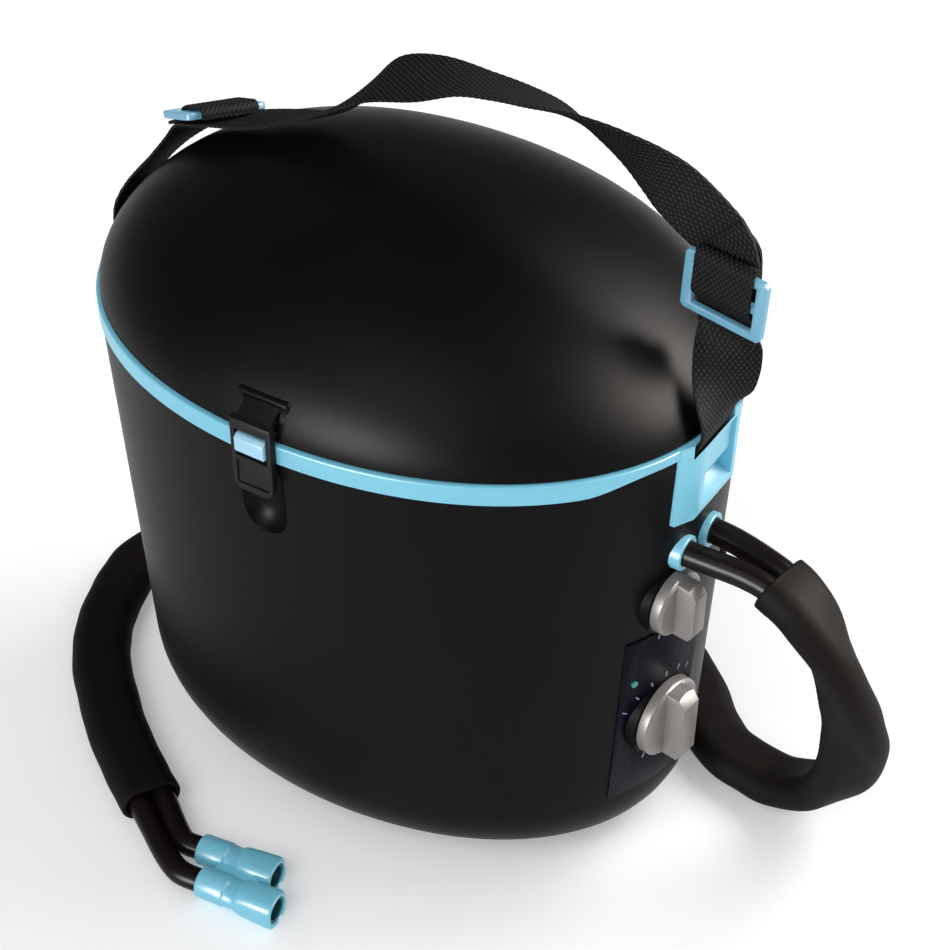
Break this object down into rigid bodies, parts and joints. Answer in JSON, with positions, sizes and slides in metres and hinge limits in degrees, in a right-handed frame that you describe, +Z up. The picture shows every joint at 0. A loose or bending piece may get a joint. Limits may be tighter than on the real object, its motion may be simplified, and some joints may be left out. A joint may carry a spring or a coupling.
{
  "type": "hot cold therapy machine",
  "caption": "Insulated oval tub with a hinged domed lid, latch, carry strap, turning knobs, a circulating pump, and a sleeved twin hose ending in a quick coupling.",
  "frame": {"origin": "middle of the rubber pad's underside, on the floor", "axes": "+X along the case to the end with the controls and hoses, -Y to the side with the latch, +Y to the hinge, +Z up"},
  "size_m": [0.4058, 0.2881, 0.3423],
  "materials": {
    "case_black": "fine satin moulded black",
    "accent_blue": "light blue moulded plastic",
    "lug_blue": "paler blue moulded plastic",
    "liner_grey": "smooth pale grey plastic",
    "foam_cream": "rigid insulating foam",
    "rubber_black": "soft matt rubber",
    "steel": "plated steel",
    "white_plastic": "natural white plastic",
    "tube_clear": "milky silicone tube",
    "label_navy": "printed film",
    "lens_teal": "clear tinted lens",
    "control_grey": "moulded control body",
    "board_green": "circuit board",
    "pump_black": "glass-filled plastic",
    "aluminium": "extruded",
    "knob_taupe": "satin grey moulding",
    "webbing_black": "woven webbing",
    "hose_black": "smooth flexible hose",
    "sleeve_black": "soft closed-cell foam",
    "socket_teal": "dark moulded insert"
  },
  "bodies": {
    "body": {"body_shell": "case_black", "base_pad": "rubber_black", "rim_band": "accent_blue", "latch_keeper": "lug_blue", "anchor_right": "accent_blue", "anchor_left": "accent_blue", "anchor_bars": "steel", "port_collars": "accent_blue", "port_fittings": "white_plastic", "reservoir_liner": "liner_grey", "insulation_foam": "foam_cream", "bay_wall": "pump_black", "equipment_tray": "pump_black", "bay_deck": "case_black", "deck_screws": "steel", "control_label": "label_navy", "power_light": "lens_teal", "upper_control": "control_grey", "lower_control": "control_grey", "control_board": "board_green", "pump_body": "pump_black", "heater_block": "aluminium", "supply_tube": "tube_clear", "suction_tube": "tube_clear", "return_tube": "tube_clear", "strainer": "pump_black", "power_socket": "pump_black", "hinge_body_leaf": "case_black", "hinge_pin": "steel", "hinge_screws": "steel", "supply_hose": "hose_black", "return_hose": "hose_black", "hose_sleeve": "sleeve_black", "coupling_body": "accent_blue", "coupling_sockets": "socket_teal"},
    "lid": {"lid_shell": "case_black", "lid_liner": "liner_grey", "lid_foam": "foam_cream", "lid_gasket": "rubber_black", "hinge_lid_leaf": "case_black", "latch_pin": "steel"},
    "latch": {"latch_flap": "case_black"},
    "upper_dial": {"upper_knob": "knob_taupe", "upper_shaft": "steel"},
    "lower_dial": {"lower_knob": "knob_taupe", "lower_shaft": "steel"},
    "impeller": {"pump_impeller": "white_plastic"},
    "strap": {"strap_webbing": "webbing_black", "strap_glide_right": "accent_blue", "strap_glide_left": "accent_blue"}
  },
  "joints": [
    {"name": "lid_hinge", "type": "hinge", "parent": "body", "child": "lid", "pos_m": [0, 0.111, 0.227], "axis": [-1, 0, 0], "range_deg": [0, 100], "deforming": ["latch_keeper"]},
    {"name": "latch_swing", "type": "hinge", "parent": "lid", "child": "latch", "pos_m": [0, -0.0993, 0.2385], "axis": [-1, 0, 0], "range_deg": [0, 40]},
    {"name": "strap_swing", "type": "hinge", "parent": "body", "child": "strap", "pos_m": [0, -0.0075, 0.214], "axis": [1, 0, 0], "range_deg": [0, 75], "deforming": ["strap_webbing", "strap_glide_right", "strap_glide_left"]},
    {"name": "upper_knob_turn", "type": "hinge", "parent": "body", "child": "upper_dial", "pos_m": [0.13506, -0.023, 0.15], "axis": [0.9903, -0.1392, 0], "range_deg": [-150, 150]},
    {"name": "lower_knob_turn", "type": "hinge", "parent": "body", "child": "lower_dial", "pos_m": [0.13421, -0.019, 0.083], "axis": [0.9903, -0.1392, 0], "range_deg": [-150, 150]},
    {"name": "impeller_spin", "type": "hinge", "parent": "body", "child": "impeller", "pos_m": [0.102, 0.024, 0.05], "axis": [0, 0, 1], "continuous": true}
  ],
  "couplings": [
    {"joint": "strap_swing", "follows": "lid_hinge", "ratio": 0.75}
  ]
}
